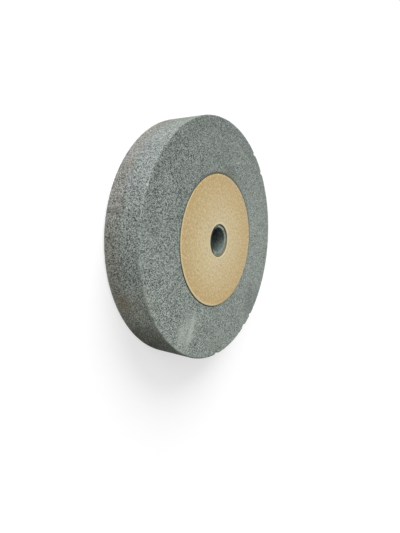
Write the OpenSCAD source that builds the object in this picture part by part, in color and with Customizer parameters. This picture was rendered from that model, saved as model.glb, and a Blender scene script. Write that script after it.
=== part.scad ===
// Bench grinding wheel: a straight abrasive wheel with a bushed bore and a paper blotter on each flat face.
// The axis of the bore is Z, and the wheel lies on its back blotter at z = 0.

/* [Abrasive wheel] */
// Outside diameter of the abrasive
wheel_d = 250; // [200:1:300]
// Thickness of the abrasive between its two flat faces
wheel_t = 40; // [20:1:60]
// Bevel at each face on the hole moulded through the abrasive
wheel_hole_bevel = 0.5; // [0.1:0.1:1.2]
// Radius worn on the two outer edges
arris_r = 0.6; // [0.3:0.1:4]

/* [Arbor bush] */
// Diameter of the bush's bore, which runs on the spindle
spindle_d = 25.4; // [12:0.1:60]
// Wall of the bush; the hole moulded through the abrasive is as much wider than the bore
bush_wall = 3.25; // [1.5:0.05:8]
// Depth of the bush's end below the face of the abrasive, at both ends
bush_setback = 0.8; // [0.3:0.1:5]
// Lead-in bevel at both mouths of the bush's bore
bush_bevel = 0.6; // [0.2:0.1:1.2]
// Glue line between the bush and the abrasive
glue_gap = 0.05; // [0.02:0.01:0.2]

/* [Blotters] */
// Outside diameter of each paper blotter
blotter_d = 138; // [90:1:190]
// Thickness of each blotter's paper
blotter_t = 0.8; // [0.3:0.1:2]
// Width of the face that each blotter leaves bare round the moulded hole
blotter_margin = 1.4; // [0.8:0.1:10]

/* [Hidden] */

// Radii of the pieces, from the axis outwards
wheel_r = wheel_d / 2;
spindle_r = spindle_d / 2;
bush_r = spindle_r + bush_wall;
wheel_hole_r = bush_r + glue_gap;
blotter_r = blotter_d / 2;
blotter_hole_r = wheel_hole_r + blotter_margin;

// Heights of the two faces of the abrasive, and of the bush's two ends between them
back_face_z = blotter_t;
front_face_z = back_face_z + wheel_t;
bush_z = back_face_z + bush_setback;
bush_len = wheel_t - 2 * bush_setback;

// Facets on the large and the small circles, and the overshoot of a cut past the solid that it cuts
fine_fn = 240;
edge_fn = 48;
cut = 1;

abrasive_grey = [0.53, 0.56, 0.53];
bush_grey = [0.66, 0.67, 0.66];
kraft_tan = [0.78, 0.71, 0.55];

// Bevel cut for the mouth of a turned hole of radius r at height z; up is 1 at the top mouth, -1 below
module mouth_bevel(r, z, size, up) {
    translate([r, z])
        polygon([[size, 0], [size, up * cut], [-cut, up * cut], [-cut, -up * size], [0, -up * size]]);
}

// Half section of the abrasive, with its outer edges rounded by wear
module abrasive_section() {
    difference() {
        translate([wheel_hole_r, 0]) union() {
            square([wheel_r - wheel_hole_r - arris_r, wheel_t]);
            translate([0, arris_r]) square([wheel_r - wheel_hole_r, wheel_t - 2 * arris_r]);
        }
        mouth_bevel(wheel_hole_r, wheel_t, wheel_hole_bevel, 1);
        mouth_bevel(wheel_hole_r, 0, wheel_hole_bevel, -1);
    }
    for (z = [arris_r, wheel_t - arris_r])
        translate([wheel_r - arris_r, z]) circle(r = arris_r, $fn = edge_fn);
}

// Vitrified abrasive, pressed and fired in one piece
module abrasive_wheel() {
    color(abrasive_grey)
        translate([0, 0, back_face_z]) rotate_extrude($fn = fine_fn) abrasive_section();
}

// Bush set in the moulded hole, a little below both faces, which brings the hole down to the spindle's size
module arbor_bush() {
    color(bush_grey)
        translate([0, 0, bush_z]) rotate_extrude($fn = fine_fn) difference() {
            translate([spindle_r, 0]) square([bush_r - spindle_r, bush_len]);
            mouth_bevel(spindle_r, bush_len, bush_bevel, 1);
            mouth_bevel(spindle_r, 0, bush_bevel, -1);
        }
}

// Punched disc of kraft paper, glued to a face of the abrasive with its underside at height z
module blotter(z) {
    color(kraft_tan) translate([0, 0, z]) difference() {
        cylinder(r = blotter_r, h = blotter_t, $fn = fine_fn);
        translate([0, 0, -cut]) cylinder(r = blotter_hole_r, h = blotter_t + 2 * cut, $fn = fine_fn);
    }
}

module front_blotter() { blotter(front_face_z); }
module back_blotter() { blotter(0); }

abrasive_wheel();
arbor_bush();
front_blotter();
back_blotter();
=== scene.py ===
import math

import bmesh
import bpy
from mathutils import Euler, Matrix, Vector


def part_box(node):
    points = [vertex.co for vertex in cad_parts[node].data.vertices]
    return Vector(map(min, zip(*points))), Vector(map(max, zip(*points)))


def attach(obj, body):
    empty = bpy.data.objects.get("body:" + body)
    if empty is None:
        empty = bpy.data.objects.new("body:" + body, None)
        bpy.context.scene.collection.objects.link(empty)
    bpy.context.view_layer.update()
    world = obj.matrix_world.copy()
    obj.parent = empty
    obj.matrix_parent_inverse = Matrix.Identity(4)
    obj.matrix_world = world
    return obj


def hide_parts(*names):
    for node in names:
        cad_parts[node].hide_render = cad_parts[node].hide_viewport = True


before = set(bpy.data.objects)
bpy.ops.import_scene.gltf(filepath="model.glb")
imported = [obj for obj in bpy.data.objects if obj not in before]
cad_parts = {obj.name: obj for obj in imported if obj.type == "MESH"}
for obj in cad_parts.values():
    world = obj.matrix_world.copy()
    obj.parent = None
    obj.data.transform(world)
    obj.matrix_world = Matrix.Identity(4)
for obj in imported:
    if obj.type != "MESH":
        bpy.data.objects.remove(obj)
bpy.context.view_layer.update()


# Vitrified wheel
# One straight disc of dark and pale abrasive grain, pressed with a clay bond and fired in one piece. Its skin is
# open and sandy, its two outer edges are worn round and have shed crumbs, and the front one has lost two chips.

low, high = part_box("abrasive_wheel")
wheel_r = high.x
back_z = low.z
front_z = high.z
middle_z = (back_z + front_z) / 2
half_t = (front_z - back_z) / 2
arris_r = 0.0006
hole_bevel = 0.0005
blotter_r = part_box("front_blotter")[1].x
bush_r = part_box("arbor_bush")[1].x
wheel_hole_r = bush_r + 0.00005

turns = 620
grain = 0.0011
core_r = blotter_r - 0.004
grain_relief = 0.00008
crumb_depth = 0.0005
crumb_reach = 0.002
crumbled_clock = 140
chip_clocks = (147, 177)
chip_depth = 0.0018
chip_reach = 0.0045
nick_clocks = (36, 49, 138)
nick_depth = 0.0018
nick_reach = 0.003
twelve_o_clock = -60


def deselect_all():
    """Leaves nothing selected, so that the next operator acts on its own piece alone."""
    if bpy.context.object and bpy.context.object.mode == "EDIT":
        bpy.ops.object.mode_set(mode="OBJECT")
    bpy.ops.object.select_all(action="DESELECT")


def section_plate(name, inner_r, outer_r, bottom_z, top_z):
    """Starts a piece as a flat plate over a rectangle of its half section, with its radius along X."""
    deselect_all()
    middle = ((inner_r + outer_r) / 2, 0, (bottom_z + top_z) / 2)
    bpy.ops.mesh.primitive_plane_add(size=1, location=middle, rotation=(math.pi / 2, 0, 0))
    plate = bpy.context.object
    plate.name = plate.data.name = name
    plate.scale = (outer_r - inner_r, top_z - bottom_z, 1)
    bpy.ops.object.transform_apply(location=True, rotation=True, scale=True)
    bpy.ops.object.mode_set(mode="EDIT")
    bpy.ops.mesh.select_mode(type="VERT")
    return plate


def pick(piece, wanted):
    """In edit mode, selects the vertices that a test picks by their place, with the edges between them."""
    mesh = bmesh.from_edit_mesh(piece.data)
    for vertex in mesh.verts:
        vertex.select = wanted(vertex.co)
    mesh.select_flush_mode()
    bmesh.update_edit_mesh(piece.data)


def near(value, target):
    """Whether two lengths are the same to a hundredth of a millimetre."""
    return abs(value - target) < 0.00001


def open_outline(piece):
    """In edit mode, drops the section's flat faces, which leaves its outline as bare edges."""
    bpy.ops.mesh.select_all(action="SELECT")
    bpy.ops.mesh.delete(type="ONLY_FACE")


def divide(piece, wanted, length, step):
    """In edit mode, cuts the edges between the picked vertices into lengths of about one step."""
    pick(piece, wanted)
    bpy.ops.mesh.subdivide(number_cuts=max(1, round(length / step) - 1))


def turn_outline(piece, steps):
    """Turns a section's outline once round the wheel's axis, closes the seam and faces the skin outwards."""
    bpy.ops.object.mode_set(mode="OBJECT")
    screw = piece.modifiers.new("turned", "SCREW")
    screw.angle = 2 * math.pi
    screw.steps = screw.render_steps = steps
    screw.use_merge_vertices = True
    bpy.ops.object.modifier_apply(modifier=screw.name)
    bpy.ops.object.mode_set(mode="EDIT")
    bpy.ops.mesh.select_all(action="SELECT")
    bpy.ops.mesh.remove_doubles(threshold=0.000005)
    bpy.ops.mesh.normals_make_consistent(inside=False)
    bpy.ops.object.mode_set(mode="OBJECT")


def radius(place):
    """Distance of a point from the wheel's axis."""
    return math.hypot(place.x, place.y)


def weigh(piece, name, rule):
    """A vertex group that gives each vertex the share that a rule works out from its place."""
    group = piece.vertex_groups.new(name=name)
    for vertex in piece.data.vertices:
        share = rule(vertex.co)
        if share > 0:
            group.add([vertex.index], min(1, share), "REPLACE")
    return name


def press_in(piece, group, depth, kind, size, brightness=1.0, contrast=1.0):
    """Presses the skin of a vertex group inwards by a noise with blobs of the given size."""
    texture = bpy.data.textures.new(piece.name + "_" + group, kind)
    texture.noise_scale = size
    texture.intensity = brightness
    texture.contrast = contrast
    texture.use_clamp = True
    modifier = piece.modifiers.new(group, "DISPLACE")
    modifier.texture = texture
    modifier.texture_coords = "LOCAL"
    modifier.strength = -depth
    modifier.mid_level = 0
    modifier.vertex_group = group
    bpy.ops.object.modifier_apply(modifier=modifier.name)


def at_clock(clock, distance=1.0, z=0.0):
    """Place at a clock angle of the photograph, in degrees, a distance from the axis and a height."""
    angle = math.radians(twelve_o_clock - clock)
    return Vector((distance * math.cos(angle), distance * math.sin(angle), z))


def crumbling(place):
    """How freely the outer edges have shed grains: most on the side of the chips, and less away from it."""
    near_chips = (at_clock(crumbled_clock, wheel_r, place.z) - place).length / wheel_r
    return 0.25 + 0.75 * max(0, 1 - near_chips)


def to_arris(place):
    """How far a point of the skin is, along it, from the nearer of the two outer corners."""
    return max(0, wheel_r - radius(place)) + max(0, half_t - abs(place.z - middle_z))


def knock_off(piece, name, clocks, depth, reach):
    """Takes small bites out of the front outer edge, at the given clock angles."""
    bites = [at_clock(clock, wheel_r, front_z) for clock in clocks]
    weigh(piece, name, lambda place: max(1 - (place - bite).length / reach for bite in bites))
    press_in(piece, name, depth, "CLOUDS", 0.004, brightness=1.5)


wheel = section_plate("vitrified_wheel", wheel_hole_r, core_r, back_z, front_z)
pick(wheel, lambda place: near(place.x, core_r))
bpy.ops.mesh.extrude_edges_move(TRANSFORM_OT_translate={"value": (wheel_r - core_r, 0, 0)})
pick(wheel, lambda place: near(place.x, wheel_r))
bpy.ops.mesh.bevel(offset=arris_r, segments=2, affect="VERTICES")
pick(wheel, lambda place: near(place.x, wheel_hole_r))
bpy.ops.mesh.bevel(offset=hole_bevel, segments=1, affect="VERTICES")
open_outline(wheel)
pick(wheel, lambda place: near(place.x, core_r))
bpy.ops.mesh.delete(type="EDGE")
for face_z in (back_z, front_z):
    divide(wheel, lambda place: near(place.z, face_z) and place.x > core_r - 0.0001, wheel_r - core_r, grain)
divide(wheel, lambda place: near(place.x, wheel_r), 2 * half_t, grain)
turn_outline(wheel, turns)

weigh(wheel, "grain", lambda place: 1 if radius(place) > blotter_r - 0.001 else 0)
press_in(wheel, "grain", grain_relief, "CLOUDS", 0.0009)
weigh(wheel, "crumbs", lambda place: (1.2 - to_arris(place) / crumb_reach) * crumbling(place))
press_in(wheel, "crumbs", crumb_depth, "CLOUDS", 0.0026, brightness=0.35, contrast=4)
knock_off(wheel, "chips", chip_clocks, chip_depth, chip_reach)
knock_off(wheel, "nicks", nick_clocks, nick_depth, nick_reach)
bpy.ops.object.shade_smooth_by_angle(angle=math.radians(60))


class Wire:
    """One socket of a material's nodes. Sums on a wire add Math nodes, and node() adds any other node."""

    def __init__(self, socket):
        self.socket = socket

    def node(self, kind, settings, values, output=0):
        """Adds a node to this wire's material: first its settings, then its sockets' values or links."""
        tree = self.socket.id_data
        node = tree.nodes.new(kind)
        for setting, value in settings.items():
            setattr(node, setting, value)
        for name, value in values.items():
            if isinstance(value, Wire):
                tree.links.new(value.socket, node.inputs[name])
            else:
                node.inputs[name].default_value = value
        return Wire(node.outputs[output])

    def feed(self, shader, name):
        """Links this wire to a socket of the material's shader."""
        self.socket.id_data.links.new(self.socket, shader.inputs[name])

    def maths(self, operation, first, second=0.0):
        """A Math node on one or two values."""
        return self.node("ShaderNodeMath", {"operation": operation}, {0: first, 1: second})

    def __add__(self, other):
        return self.maths("ADD", self, other)

    def __radd__(self, other):
        return self.maths("ADD", other, self)

    def __sub__(self, other):
        return self.maths("SUBTRACT", self, other)

    def __rsub__(self, other):
        return self.maths("SUBTRACT", other, self)

    def __mul__(self, other):
        return self.maths("MULTIPLY", self, other)

    def __rmul__(self, other):
        return self.maths("MULTIPLY", other, self)

    def __truediv__(self, other):
        return self.maths("DIVIDE", self, other)

    def __rtruediv__(self, other):
        return self.maths("DIVIDE", other, self)


def new_finish(name, piece):
    """Gives a piece a new material, and returns its shader and the place of each point of its skin."""
    material = bpy.data.materials.new(name)
    material.use_nodes = True
    piece.data.materials.clear()
    piece.data.materials.append(material)
    coordinates = material.node_tree.nodes.new("ShaderNodeTexCoord")
    return material.node_tree.nodes["Principled BSDF"], Wire(coordinates.outputs["Object"])


def tone(red, green, blue):
    """A colour from its screen levels, 0 to 255, as the light that a surface of that colour gives back."""
    levels = [level / 255 for level in (red, green, blue)]
    return [level / 12.92 if level < 0.04045 else ((level + 0.055) / 1.055) ** 2.4 for level in levels] + [1]


def blend(factor, first, second, mode="MIX"):
    """A colour between two others."""
    settings = {"data_type": "RGBA", "blend_type": mode}
    return factor.node("ShaderNodeMix", settings, {0: factor, 6: first, 7: second}, output=2)


def rise(value, start, end):
    """Goes smoothly from 0 where a value is at start, or under it, to 1 at end."""
    limits = {"Value": value, "From Min": start, "From Max": end}
    return value.node("ShaderNodeMapRange", {"interpolation_type": "SMOOTHSTEP"}, limits)


def noise(place, size, detail=2.0):
    """A soft random shade from 0 to 1, in blobs of about the given size in metres."""
    return place.node("ShaderNodeTexNoise", {}, {"Vector": place, "Scale": 1 / size, "Detail": detail})


def cells(place, size, output):
    """A mosaic of angular cells of the given size in metres, by each cell's distance or colour."""
    return place.node("ShaderNodeTexVoronoi", {}, {"Vector": place, "Scale": 1 / size}, output)


def cell_shade(place, size):
    """One random shade from 0 to 1 for each cell of a mosaic."""
    colour = cells(place, size, "Color")
    return colour.node("ShaderNodeSeparateColor", {}, {0: colour}, "Red")


def part_of(place, axis):
    """One coordinate of a place: X, Y or Z."""
    return place.node("ShaderNodeSeparateXYZ", {}, {0: place}, axis)


def from_axis(place):
    """Distance from the wheel's axis."""
    flat = place.node("ShaderNodeVectorMath", {"operation": "MULTIPLY"}, {0: place, 1: (1, 1, 0)})
    return flat.node("ShaderNodeVectorMath", {"operation": "LENGTH"}, {0: flat}, "Value")


def local(place, centre, turn, scale):
    """A place counted from a centre, turned about the wheel's axis and measured in the given lengths."""
    values = {"Vector": place, "Location": centre, "Rotation": (0, 0, math.radians(turn)), "Scale": scale}
    return place.node("ShaderNodeMapping", {"vector_type": "TEXTURE"}, values)


def patch(place, centre, turn, scale):
    """A soft patch, 1 at its centre and 0 past the given half lengths."""
    inside = local(place, centre, turn, scale)
    length = inside.node("ShaderNodeVectorMath", {"operation": "LENGTH"}, {0: inside}, "Value")
    return 1 - rise(length, 0.3, 1)


def facing(place, clock, start, end):
    """1 on the side of the wheel at a clock angle of the photograph, going to 0 away from it."""
    flat = place.node("ShaderNodeVectorMath", {"operation": "MULTIPLY"}, {0: place, 1: (1, 1, 0)})
    unit = flat.node("ShaderNodeVectorMath", {"operation": "NORMALIZE"}, {0: flat})
    towards = {0: unit, 1: at_clock(clock)}
    return rise(unit.node("ShaderNodeVectorMath", {"operation": "DOT_PRODUCT"}, towards, "Value"), start, end)


def relief(height, depth):
    """The bumps that a height from 0 to 1 makes on a surface, of the given depth in metres."""
    return height.node("ShaderNodeBump", {}, {"Distance": depth, "Height": height, "Strength": 1}, "Normal")


dark_grain = tone(52, 59, 54)
pale_grain = tone(176, 185, 178)
pore_black = tone(44, 48, 46)
worn_arris = tone(158, 166, 159)
bore_grime = tone(106, 105, 86)
scuff_pale = tone(178, 185, 177)
mottle_shade = (0.92, 0.93, 0.92, 1)
face_painted_shade = (0.90, 0.91, 0.92, 1)
edge_shade = (0.90, 0.89, 0.90, 1)
bruise_shade = (0.80, 0.79, 0.81, 1)
bruise_centre = at_clock(132, 0.111, front_z)
rim_cool = (1.01, 0.99, 1.0, 1)
rim_warm = (0.93, 0.82, 0.79, 1)
rim_painted_shadow = (0.40, 0.40, 0.37, 1)
rim_painted_light = (1.17, 1.16, 1.24, 1)
rim_painted_edge_shade = (0.88, 0.89, 0.88, 1)
rim_brown = (1.01, 0.99, 0.92, 1)
stain_brown = tone(124, 108, 84)
stains = {0.007: at_clock(301, wheel_r, 0.013), 0.015: at_clock(242, wheel_r, 0.014)}
smudge_dark = tone(66, 70, 62)
smudge_centre = at_clock(17, 0.0755, front_z)
glue_and_shadow_brown = tone(62, 50, 22)
fringe_olive = tone(112, 114, 90)
glue_centre = at_clock(75, 0.0006, 0)
hole_grease_and_shade = tone(16, 12, 4)
scuff_centre = (0.001, 0.103, front_z)
long_scuff = at_clock(207, 0.098, front_z)
short_scuff = at_clock(214.7, 0.1105, front_z)
scuff_turn = 98
rubbed_clock = 225
rim_shadow_clock = 205
rim_light_clock = 300
rim_edge_shade_clock = 245
brown_clock = 232
open_clock = 255
smooth_clock = 320
face_shade_clock = 328
edge_clock = 10
face_light_clock = 95
shadow_side_clock = 218
shadow_spread = 0.0011
fringe_clock = 75
dark_side_clock = 275

shader, place = new_finish("fired_abrasive", wheel)
from_centre = from_axis(place)
height = part_of(place, "Z")
grain_shade = cell_shade(place, 0.00065)
grit = noise(place, 0.0004, 1)
speckle = rise(grain_shade * 0.7 + grit * 0.7, 0.32, 1.08)
on_rim = rise(from_centre, wheel_r - 0.0018, wheel_r - 0.0006)
dirty = on_rim * facing(place, brown_clock, 0.9, 1)
smooth = on_rim * facing(place, smooth_clock, 0.8, 0.97)
openness = 0.9 + facing(place, open_clock, 0, 0.9) * 0.3 - smooth * 0.24 - dirty * 0.25
colour = blend(0.5 + (speckle - 0.5) * openness, dark_grain, pale_grain)
pore = (1 - rise(cells(place, 0.0016, "Distance"), 0.16, 0.36)) * rise(cell_shade(place, 0.0016), 0.45, 0.5)
colour = blend(pore * 0.75, colour, pore_black)

corner = (wheel_r - from_centre) + (half_t - (height - middle_z).maths("ABSOLUTE", height - middle_z))
rubbed = 0.1 + facing(place, rubbed_clock, 0.6, 0.95)
worn = (1 - rise(corner, 0.0012, 0.0036)) * rise(noise(place, 0.006), 0.3, 0.55)
colour = blend(worn * rubbed * 0.5, colour, worn_arris)

to_back =1 - rise(height + (noise(place, 0.03) - 0.5) * 0.03, 0.004, 0.026)
colour = blend(on_rim, colour, blend(to_back, rim_cool, rim_warm), "MULTIPLY")
colour = blend(dirty * (1 - to_back * 0.7), colour, rim_brown, "MULTIPLY")
# Painted light: the rim is made paler and cooler on its upper left, most towards its back.
rim_lit = facing(place, rim_light_clock, 0.85, 1.02) * (0.55 + to_back * 0.45)
colour = blend(on_rim * rim_lit, colour, rim_painted_light, "MULTIPLY")
# Painted shade: a darker band along the rim's front edge, on its lower left.
front_band = 1 - rise(front_z - height, 0.001, 0.007)
colour = blend(on_rim * front_band * facing(place, rim_edge_shade_clock, 0.85, 1), colour, rim_painted_edge_shade, "MULTIPLY")
# Painted shadow: the rim is darkened around its lower left.
colour = blend(on_rim * facing(place, rim_shadow_clock, 0.84, 1), colour, rim_painted_shadow, "MULTIPLY")
for size, stain in stains.items():
    soiled = patch(place, stain, 0, (size, size, size)) * rise(noise(place, 0.006), 0.3, 0.6)
    colour = blend(soiled * 0.4, colour, stain_brown)

scuffs = rise(noise(local(place, scuff_centre, scuff_turn, (0.016, 0.004, 0.004)), 1, 3), 0.42, 0.6)
scuffed = patch(place, scuff_centre, scuff_turn, (0.026, 0.02, 0.004))
colour = blend(scuffed * (0.2 + scuffs * 0.25), colour, scuff_pale)
scratched = patch(place, long_scuff, scuff_turn, (0.022, 0.0055, 0.004)) * 0.52
scratched = scratched + patch(place, short_scuff, scuff_turn, (0.014, 0.005, 0.004)) * 0.4
colour = blend(scratched, colour, scuff_pale)
mottle = noise(place, 0.03, 3)
colour = blend(rise(mottle, 0.6, 0.35), colour, mottle_shade, "MULTIPLY")
# Painted shade: the face is darkened towards its upper left.
colour = blend(facing(place, face_shade_clock, 0.2, 1) * (1 - on_rim), colour, face_painted_shade, "MULTIPLY")
near_edge = rise(from_centre, wheel_r * 0.86, wheel_r * 0.91) * (1 - on_rim)
colour = blend(near_edge * facing(place, edge_clock, -0.5, 1), colour, edge_shade, "MULTIPLY")
bruised = patch(place, bruise_centre, 0, (0.03, 0.03, 0.004))
colour = blend(bruised, colour, bruise_shade, "MULTIPLY")
# Painted light: the face is lightened a little towards its right.
colour = blend(facing(place, face_light_clock, 0.5, 1) * 0.025, colour, (1, 1, 1, 1))
smudged = patch(place, smudge_centre, twelve_o_clock - 17, (0.009, 0.026, 0.004))
colour = blend(smudged * 0.3, colour, smudge_dark)
from_glue = from_axis(local(place, glue_centre, 0, (1, 1, 1)))
# A soft olive darkening beside the front blotter's edge, strongest on its right.
fringe = (1 - rise(from_glue, blotter_r, blotter_r + 0.006)) * facing(place, fringe_clock, -0.6, 0.3)
colour = blend(fringe * 0.4, colour, fringe_olive)
# A dark line round the front blotter's foot: partly glue, and partly painted shadow, which widens and darkens it
# on the lower left.
shadow_side = facing(place, shadow_side_clock, 0.5, 1)
glue_and_shadow_line = 1 - rise(from_glue - shadow_side * shadow_spread, blotter_r + 0.0005, blotter_r + 0.0017)
colour = blend(glue_and_shadow_line * (0.5 + shadow_side * 0.5), colour, glue_and_shadow_brown)
# The bare ring round the hole: olive grime, blackened on its left by grease and painted shade.
in_hole = blend(facing(place, dark_side_clock, 0.3, 0.7), bore_grime, hole_grease_and_shade)
colour = blend(1 - rise(from_centre, 0.0172, 0.0185), colour, in_hole)

colour.feed(shader, "Base Color")
(0.92 - rise(grain_shade, 0.88, 0.93) * 0.4).feed(shader, "Roughness")
shader.inputs["Specular IOR Level"].default_value = 0.2
relief(speckle * 0.5 + grit * 0.3 - pore * 0.8, 0.00025).feed(shader, "Normal")

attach(wheel, "root")
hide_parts("abrasive_wheel")


# Spindle bush
# A moulded plastic sleeve, glued into the hole of the fired wheel and set back a little from both faces. It brings
# the hole down to the spindle's size. Its bore is scuffed and grey with dust from being pushed on and off.

low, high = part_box("arbor_bush")
bore_r = 0.0127
bush_bevel = 0.0006
bush_rim = 0.0002
bush_step = 0.0012
bush_turns = 192

bush = section_plate("spindle_bush", bore_r, bush_r, low.z, high.z)
pick(bush, lambda place: near(place.x, bore_r))
bpy.ops.mesh.bevel(offset=bush_bevel, segments=3, affect="VERTICES")
pick(bush, lambda place: near(place.x, bush_r))
bpy.ops.mesh.bevel(offset=bush_rim, segments=2, affect="VERTICES")
open_outline(bush)
divide(bush, lambda place: near(place.x, bore_r), high.z - low.z, bush_step)
turn_outline(bush, bush_turns)
weigh(bush, "dents", lambda place: 1)
press_in(bush, "dents", 0.00012, "CLOUDS", 0.004)
bpy.ops.object.shade_smooth_by_angle(angle=math.radians(50))

bush_grey = tone(152, 159, 150)
bush_painted_highlight = tone(182, 186, 176)
bush_dust = tone(98, 110, 105)
bush_grime_and_shade = tone(26, 33, 37)
bush_grease_and_shade = tone(17, 14, 7)
highlight_clock = 12
dusty_clock = 168

shader, place = new_finish("scuffed_plastic", bush)
from_centre = from_axis(place)
in_bore = 1 - rise(from_centre, bore_r + 0.0002, bore_r + 0.0009)
smears = rise(noise(place, 0.0025, 3), 0.35, 0.65)
near_mouth = rise(part_of(place, "Z"), high.z - 0.013, high.z)
dusty = near_mouth * 0.35 + facing(place, dusty_clock, -0.2, 0.6) * 0.5 + smears * 0.45 - 0.15
# The end face: a painted highlight at its top, and darker towards its bottom.
end_face = blend(facing(place, highlight_clock, 0.75, 0.95), bush_grey, bush_painted_highlight)
end_face = blend(facing(place, dusty_clock, 0.7, 1) * 0.4, end_face, bush_dust)
colour = blend(rise(noise(place, 0.0035, 3), 0.3, 0.6), bush_dust, end_face)
# Inside the bore: dark grime and painted shade, greyed with dust in places.
colour = blend(in_bore * 0.92, colour, blend(dusty, bush_grime_and_shade, bush_dust))
# The bush's left side is blackened by grease and painted shade.
colour = blend(facing(place, dark_side_clock, 0.3, 0.7) * 0.92, colour, bush_grease_and_shade)
colour.feed(shader, "Base Color")
(0.75 - smears * in_bore * 0.2).feed(shader, "Roughness")
shader.inputs["Specular IOR Level"].default_value = 0.15
relief(noise(place, 0.0008, 3), 0.0001).feed(shader, "Normal")

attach(bush, "root")
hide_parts("arbor_bush")


# Kraft blotters
# Two discs punched from brown kraft board and glued to the wheel's faces, where they cushion the clamping flanges.
# The board is faintly mottled, warmer towards its outer edge, and pale and fuzzy where the punch cut it.

blotter_turns = 384
blotter_step = 0.0013
punch_round = 0.00015
lifted_clock = 245
faded_clock = 75
hole_r = 0.0174
slip_clock = 202
slip = 0.001
kraft_inner = tone(197, 181, 142)
kraft_outer = tone(184, 160, 112)
kraft_edge = tone(184, 156, 102)
kraft_faded = tone(178, 165, 136)
kraft_fibre = tone(218, 201, 163)
kraft_dark = tone(156, 132, 90)
kraft_warm = (1.0, 0.97, 0.88, 1)
kraft_pink = (1.0, 0.96, 1.0, 1)
rim_pale = tone(208, 197, 162)
kraft_light = (1.03, 1.06, 1.07, 1)
light_clock = 228
cut_brown_and_shade = tone(92, 80, 54)


def kraft_blotter(name, node, outer_side):
    """One blotter; outer_side is 1 for the front one and -1 for the back one."""
    low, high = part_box(node)
    blotter = section_plate(name, hole_r, blotter_r, low.z, high.z)
    pick(blotter, lambda place: True)
    bpy.ops.mesh.bevel(offset=punch_round, segments=2, affect="VERTICES")
    open_outline(blotter)
    outer_z = high.z if outer_side > 0 else low.z
    divide(blotter, lambda place: near(place.z, outer_z), blotter_r - hole_r, blotter_step)
    turn_outline(blotter, blotter_turns)
    weigh(blotter, "sheet", lambda place: 1)
    press_in(blotter, "sheet", 0.00012, "CLOUDS", 0.012)
    weigh(blotter, "punched", lambda place: 1 - (blotter_r - radius(place)) / 0.0008)
    press_in(blotter, "punched", 0.0004, "CLOUDS", 0.006)
    if outer_side > 0:
        bpy.ops.object.mode_set(mode="EDIT")
        bpy.ops.mesh.select_all(action="SELECT")
        bpy.ops.transform.translate(value=at_clock(slip_clock, slip))
        bpy.ops.object.mode_set(mode="OBJECT")
    bpy.ops.object.shade_smooth_by_angle(angle=math.radians(50))

    shader, place = new_finish(name + "_board", blotter)
    from_centre = from_axis(place)
    colour = blend(rise(from_centre, hole_r, blotter_r), kraft_inner, kraft_outer)
    faded = facing(place, faded_clock, 0, 0.8)
    edge = rise(from_centre, blotter_r - 0.010, blotter_r)
    colour = blend(edge * 0.7, colour, blend(faded, kraft_edge, kraft_faded))
    drift = noise(place, 0.012, 2)
    colour = blend(rise(drift, 0.5, 0.75), colour, kraft_warm, "MULTIPLY")
    colour = blend(rise(drift, 0.5, 0.25), colour, kraft_pink, "MULTIPLY")
    inner = 1 - rise(from_centre, 0.045, 0.06)
    colour = blend(facing(place, light_clock, 0.3, 1) * inner, colour, kraft_light, "MULTIPLY")
    mottle = noise(place, 0.0022, 3)
    colour = blend(rise(mottle, 0.5, 0.75) * 0.7, colour, kraft_fibre)
    colour = blend(rise(mottle, 0.5, 0.25) * 0.7, colour, kraft_dark)
    fibres = noise(local(place, (0, 0, 0), 25, (0.004, 0.0004, 0.0004)), 1, 2)
    crossed = noise(local(place, (0, 0, 0), -50, (0.004, 0.0004, 0.0004)), 1, 2)
    colour = blend(rise(fibres + crossed, 1.1, 1.35) * 0.5, colour, kraft_fibre)
    colour = blend(rise(fibres + crossed, 0.9, 0.65) * 0.4, colour, kraft_dark)
    lifted = rise(from_centre, blotter_r - 0.0018, blotter_r - 0.0009)
    lifted = lifted * (0.3 + facing(place, lifted_clock, 0.1, 0.7) * 0.7)
    burr = 1 - rise(from_centre, hole_r + 0.0010, hole_r + 0.0022)
    colour = blend(lifted * 0.7 + burr, colour, rim_pale)
    # The cut edge goes dark brown towards the wheel: partly the board's darker cut, and partly painted shade where
    # the sheet meets the wheel.
    below = (high.z - low.z) / 2 - (part_of(place, "Z") - (low.z + high.z) / 2) * outer_side
    colour = blend(rise(below, 0.00015, 0.0005), colour, cut_brown_and_shade)
    colour.feed(shader, "Base Color")
    (0.9 - mottle * 0.2).feed(shader, "Roughness")
    relief(fibres * 0.4 + crossed * 0.4 + mottle * 0.5, 0.00012).feed(shader, "Normal")

    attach(blotter, "root")
    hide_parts(node)


kraft_blotter("kraft_blotter_front", "front_blotter", 1)
kraft_blotter("kraft_blotter_back", "back_blotter", -1)


# Camera
# It stands as near to the wheel's face as the photograph's, well off its axis, and is rolled on its side, so that
# the wheel, which lies flat, is framed as the photograph frames it standing.

lens = 28.1
camera_distance = 0.4401
camera_bearing = 28.31
camera_height = 30.88
aim_bearing = -156.24
aim_height = -33.16
aim_roll = 95.82


def direction(bearing, height):
    """Unit vector at a bearing about the wheel's axis and a height above its face, both in degrees."""
    turn = math.radians(bearing)
    lift = math.radians(height)
    return Vector((math.cos(turn) * math.cos(lift), math.sin(turn) * math.cos(lift), math.sin(lift)))


face_centre = Vector((0, 0, front_z))
camera_data = bpy.data.cameras.new("camera")
camera = bpy.data.objects.new("camera", camera_data)
bpy.context.scene.collection.objects.link(camera)
bpy.context.scene.camera = camera
camera_data.lens = lens
camera_data.clip_start = 0.01
camera.location = face_centre + camera_distance * direction(camera_bearing, camera_height)
aim = direction(aim_bearing, aim_height).to_track_quat("-Z", "Y").to_matrix()
camera.rotation_euler = (aim @ Euler((0, 0, math.radians(aim_roll))).to_matrix()).to_euler()


# Light and floor
# One wide soft lamp lights the wheel from the side that the photograph has on top, a weaker one fills in from its
# left, and a faint one and a pale room from behind. The floor is a pale sheet that holds a soft shadow.

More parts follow.
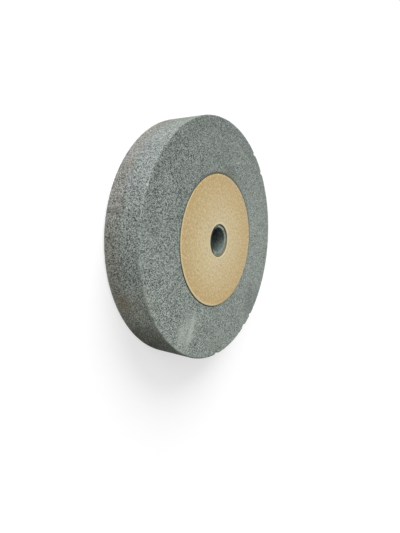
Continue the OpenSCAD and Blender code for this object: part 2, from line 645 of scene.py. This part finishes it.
key_bearing = -55
key_height = 23
key_strength = 3.6
key_width = 50
fill_bearing = 10
fill_height = 27.5
fill_strength = 2.1
fill_width = 60
back_bearing = 205
back_height = 3
back_strength = 0.8
back_width = 30
room_strength = 0.2
floor_grey = (0.2, 0.2, 0.2, 1)
floor_shown = (0.55, 0.55, 0.55, 1)
floor_glow = 0.5

scene = bpy.context.scene
scene.view_settings.view_transform = "Standard"


def soft_lamp(name, bearing, height, strength, width):
    """A wide lamp, far off in the given direction from the wheel."""
    data = bpy.data.lights.new(name, "SUN")
    data.energy = strength
    data.angle = math.radians(width)
    lamp = bpy.data.objects.new(name, data)
    scene.collection.objects.link(lamp)
    lamp.rotation_euler = direction(bearing, height).to_track_quat("Z", "Y").to_euler()


soft_lamp("soft_key", key_bearing, key_height, key_strength, key_width)
soft_lamp("soft_fill", fill_bearing, fill_height, fill_strength, fill_width)
soft_lamp("soft_back", back_bearing, back_height, back_strength, back_width)


def seen_by_eye(tree):
    """1 for rays that show a surface or its reflection, and 0 for those that only bring light."""
    path = Wire(tree.nodes.new("ShaderNodeLightPath").outputs["Is Camera Ray"])
    node = path.socket.node
    shown = path + Wire(node.outputs["Is Glossy Ray"]) + Wire(node.outputs["Is Transmission Ray"])
    return shown.maths("MINIMUM", shown, 1)


world = bpy.data.worlds.new("pale_room")
scene.world = world
world.use_nodes = True
background = world.node_tree.nodes["Background"]
background.inputs["Color"].default_value = (1, 1, 1, 1)
(room_strength + (1 - room_strength) * seen_by_eye(world.node_tree)).feed(background, "Strength")

deselect_all()
bpy.ops.mesh.primitive_plane_add(size=30)
floor = bpy.context.object
floor.name = "floor"
sheet = bpy.data.materials.new("pale_floor")
sheet.use_nodes = True
floor.data.materials.append(sheet)
tree = sheet.node_tree
tree.nodes.clear()
seen = seen_by_eye(tree)
plain = seen.node("ShaderNodeBsdfDiffuse", {}, {"Color": floor_grey})
shown = seen.node("ShaderNodeBsdfDiffuse", {}, {"Color": floor_shown})
glow = seen.node("ShaderNodeEmission", {}, {"Color": (1, 1, 1, 1), "Strength": floor_glow})
bright = seen.node("ShaderNodeAddShader", {}, {0: shown, 1: glow})
surface = seen.node("ShaderNodeMixShader", {}, {0: seen, 1: plain, 2: bright})
output = tree.nodes.new("ShaderNodeOutputMaterial")
surface.feed(output, "Surface")
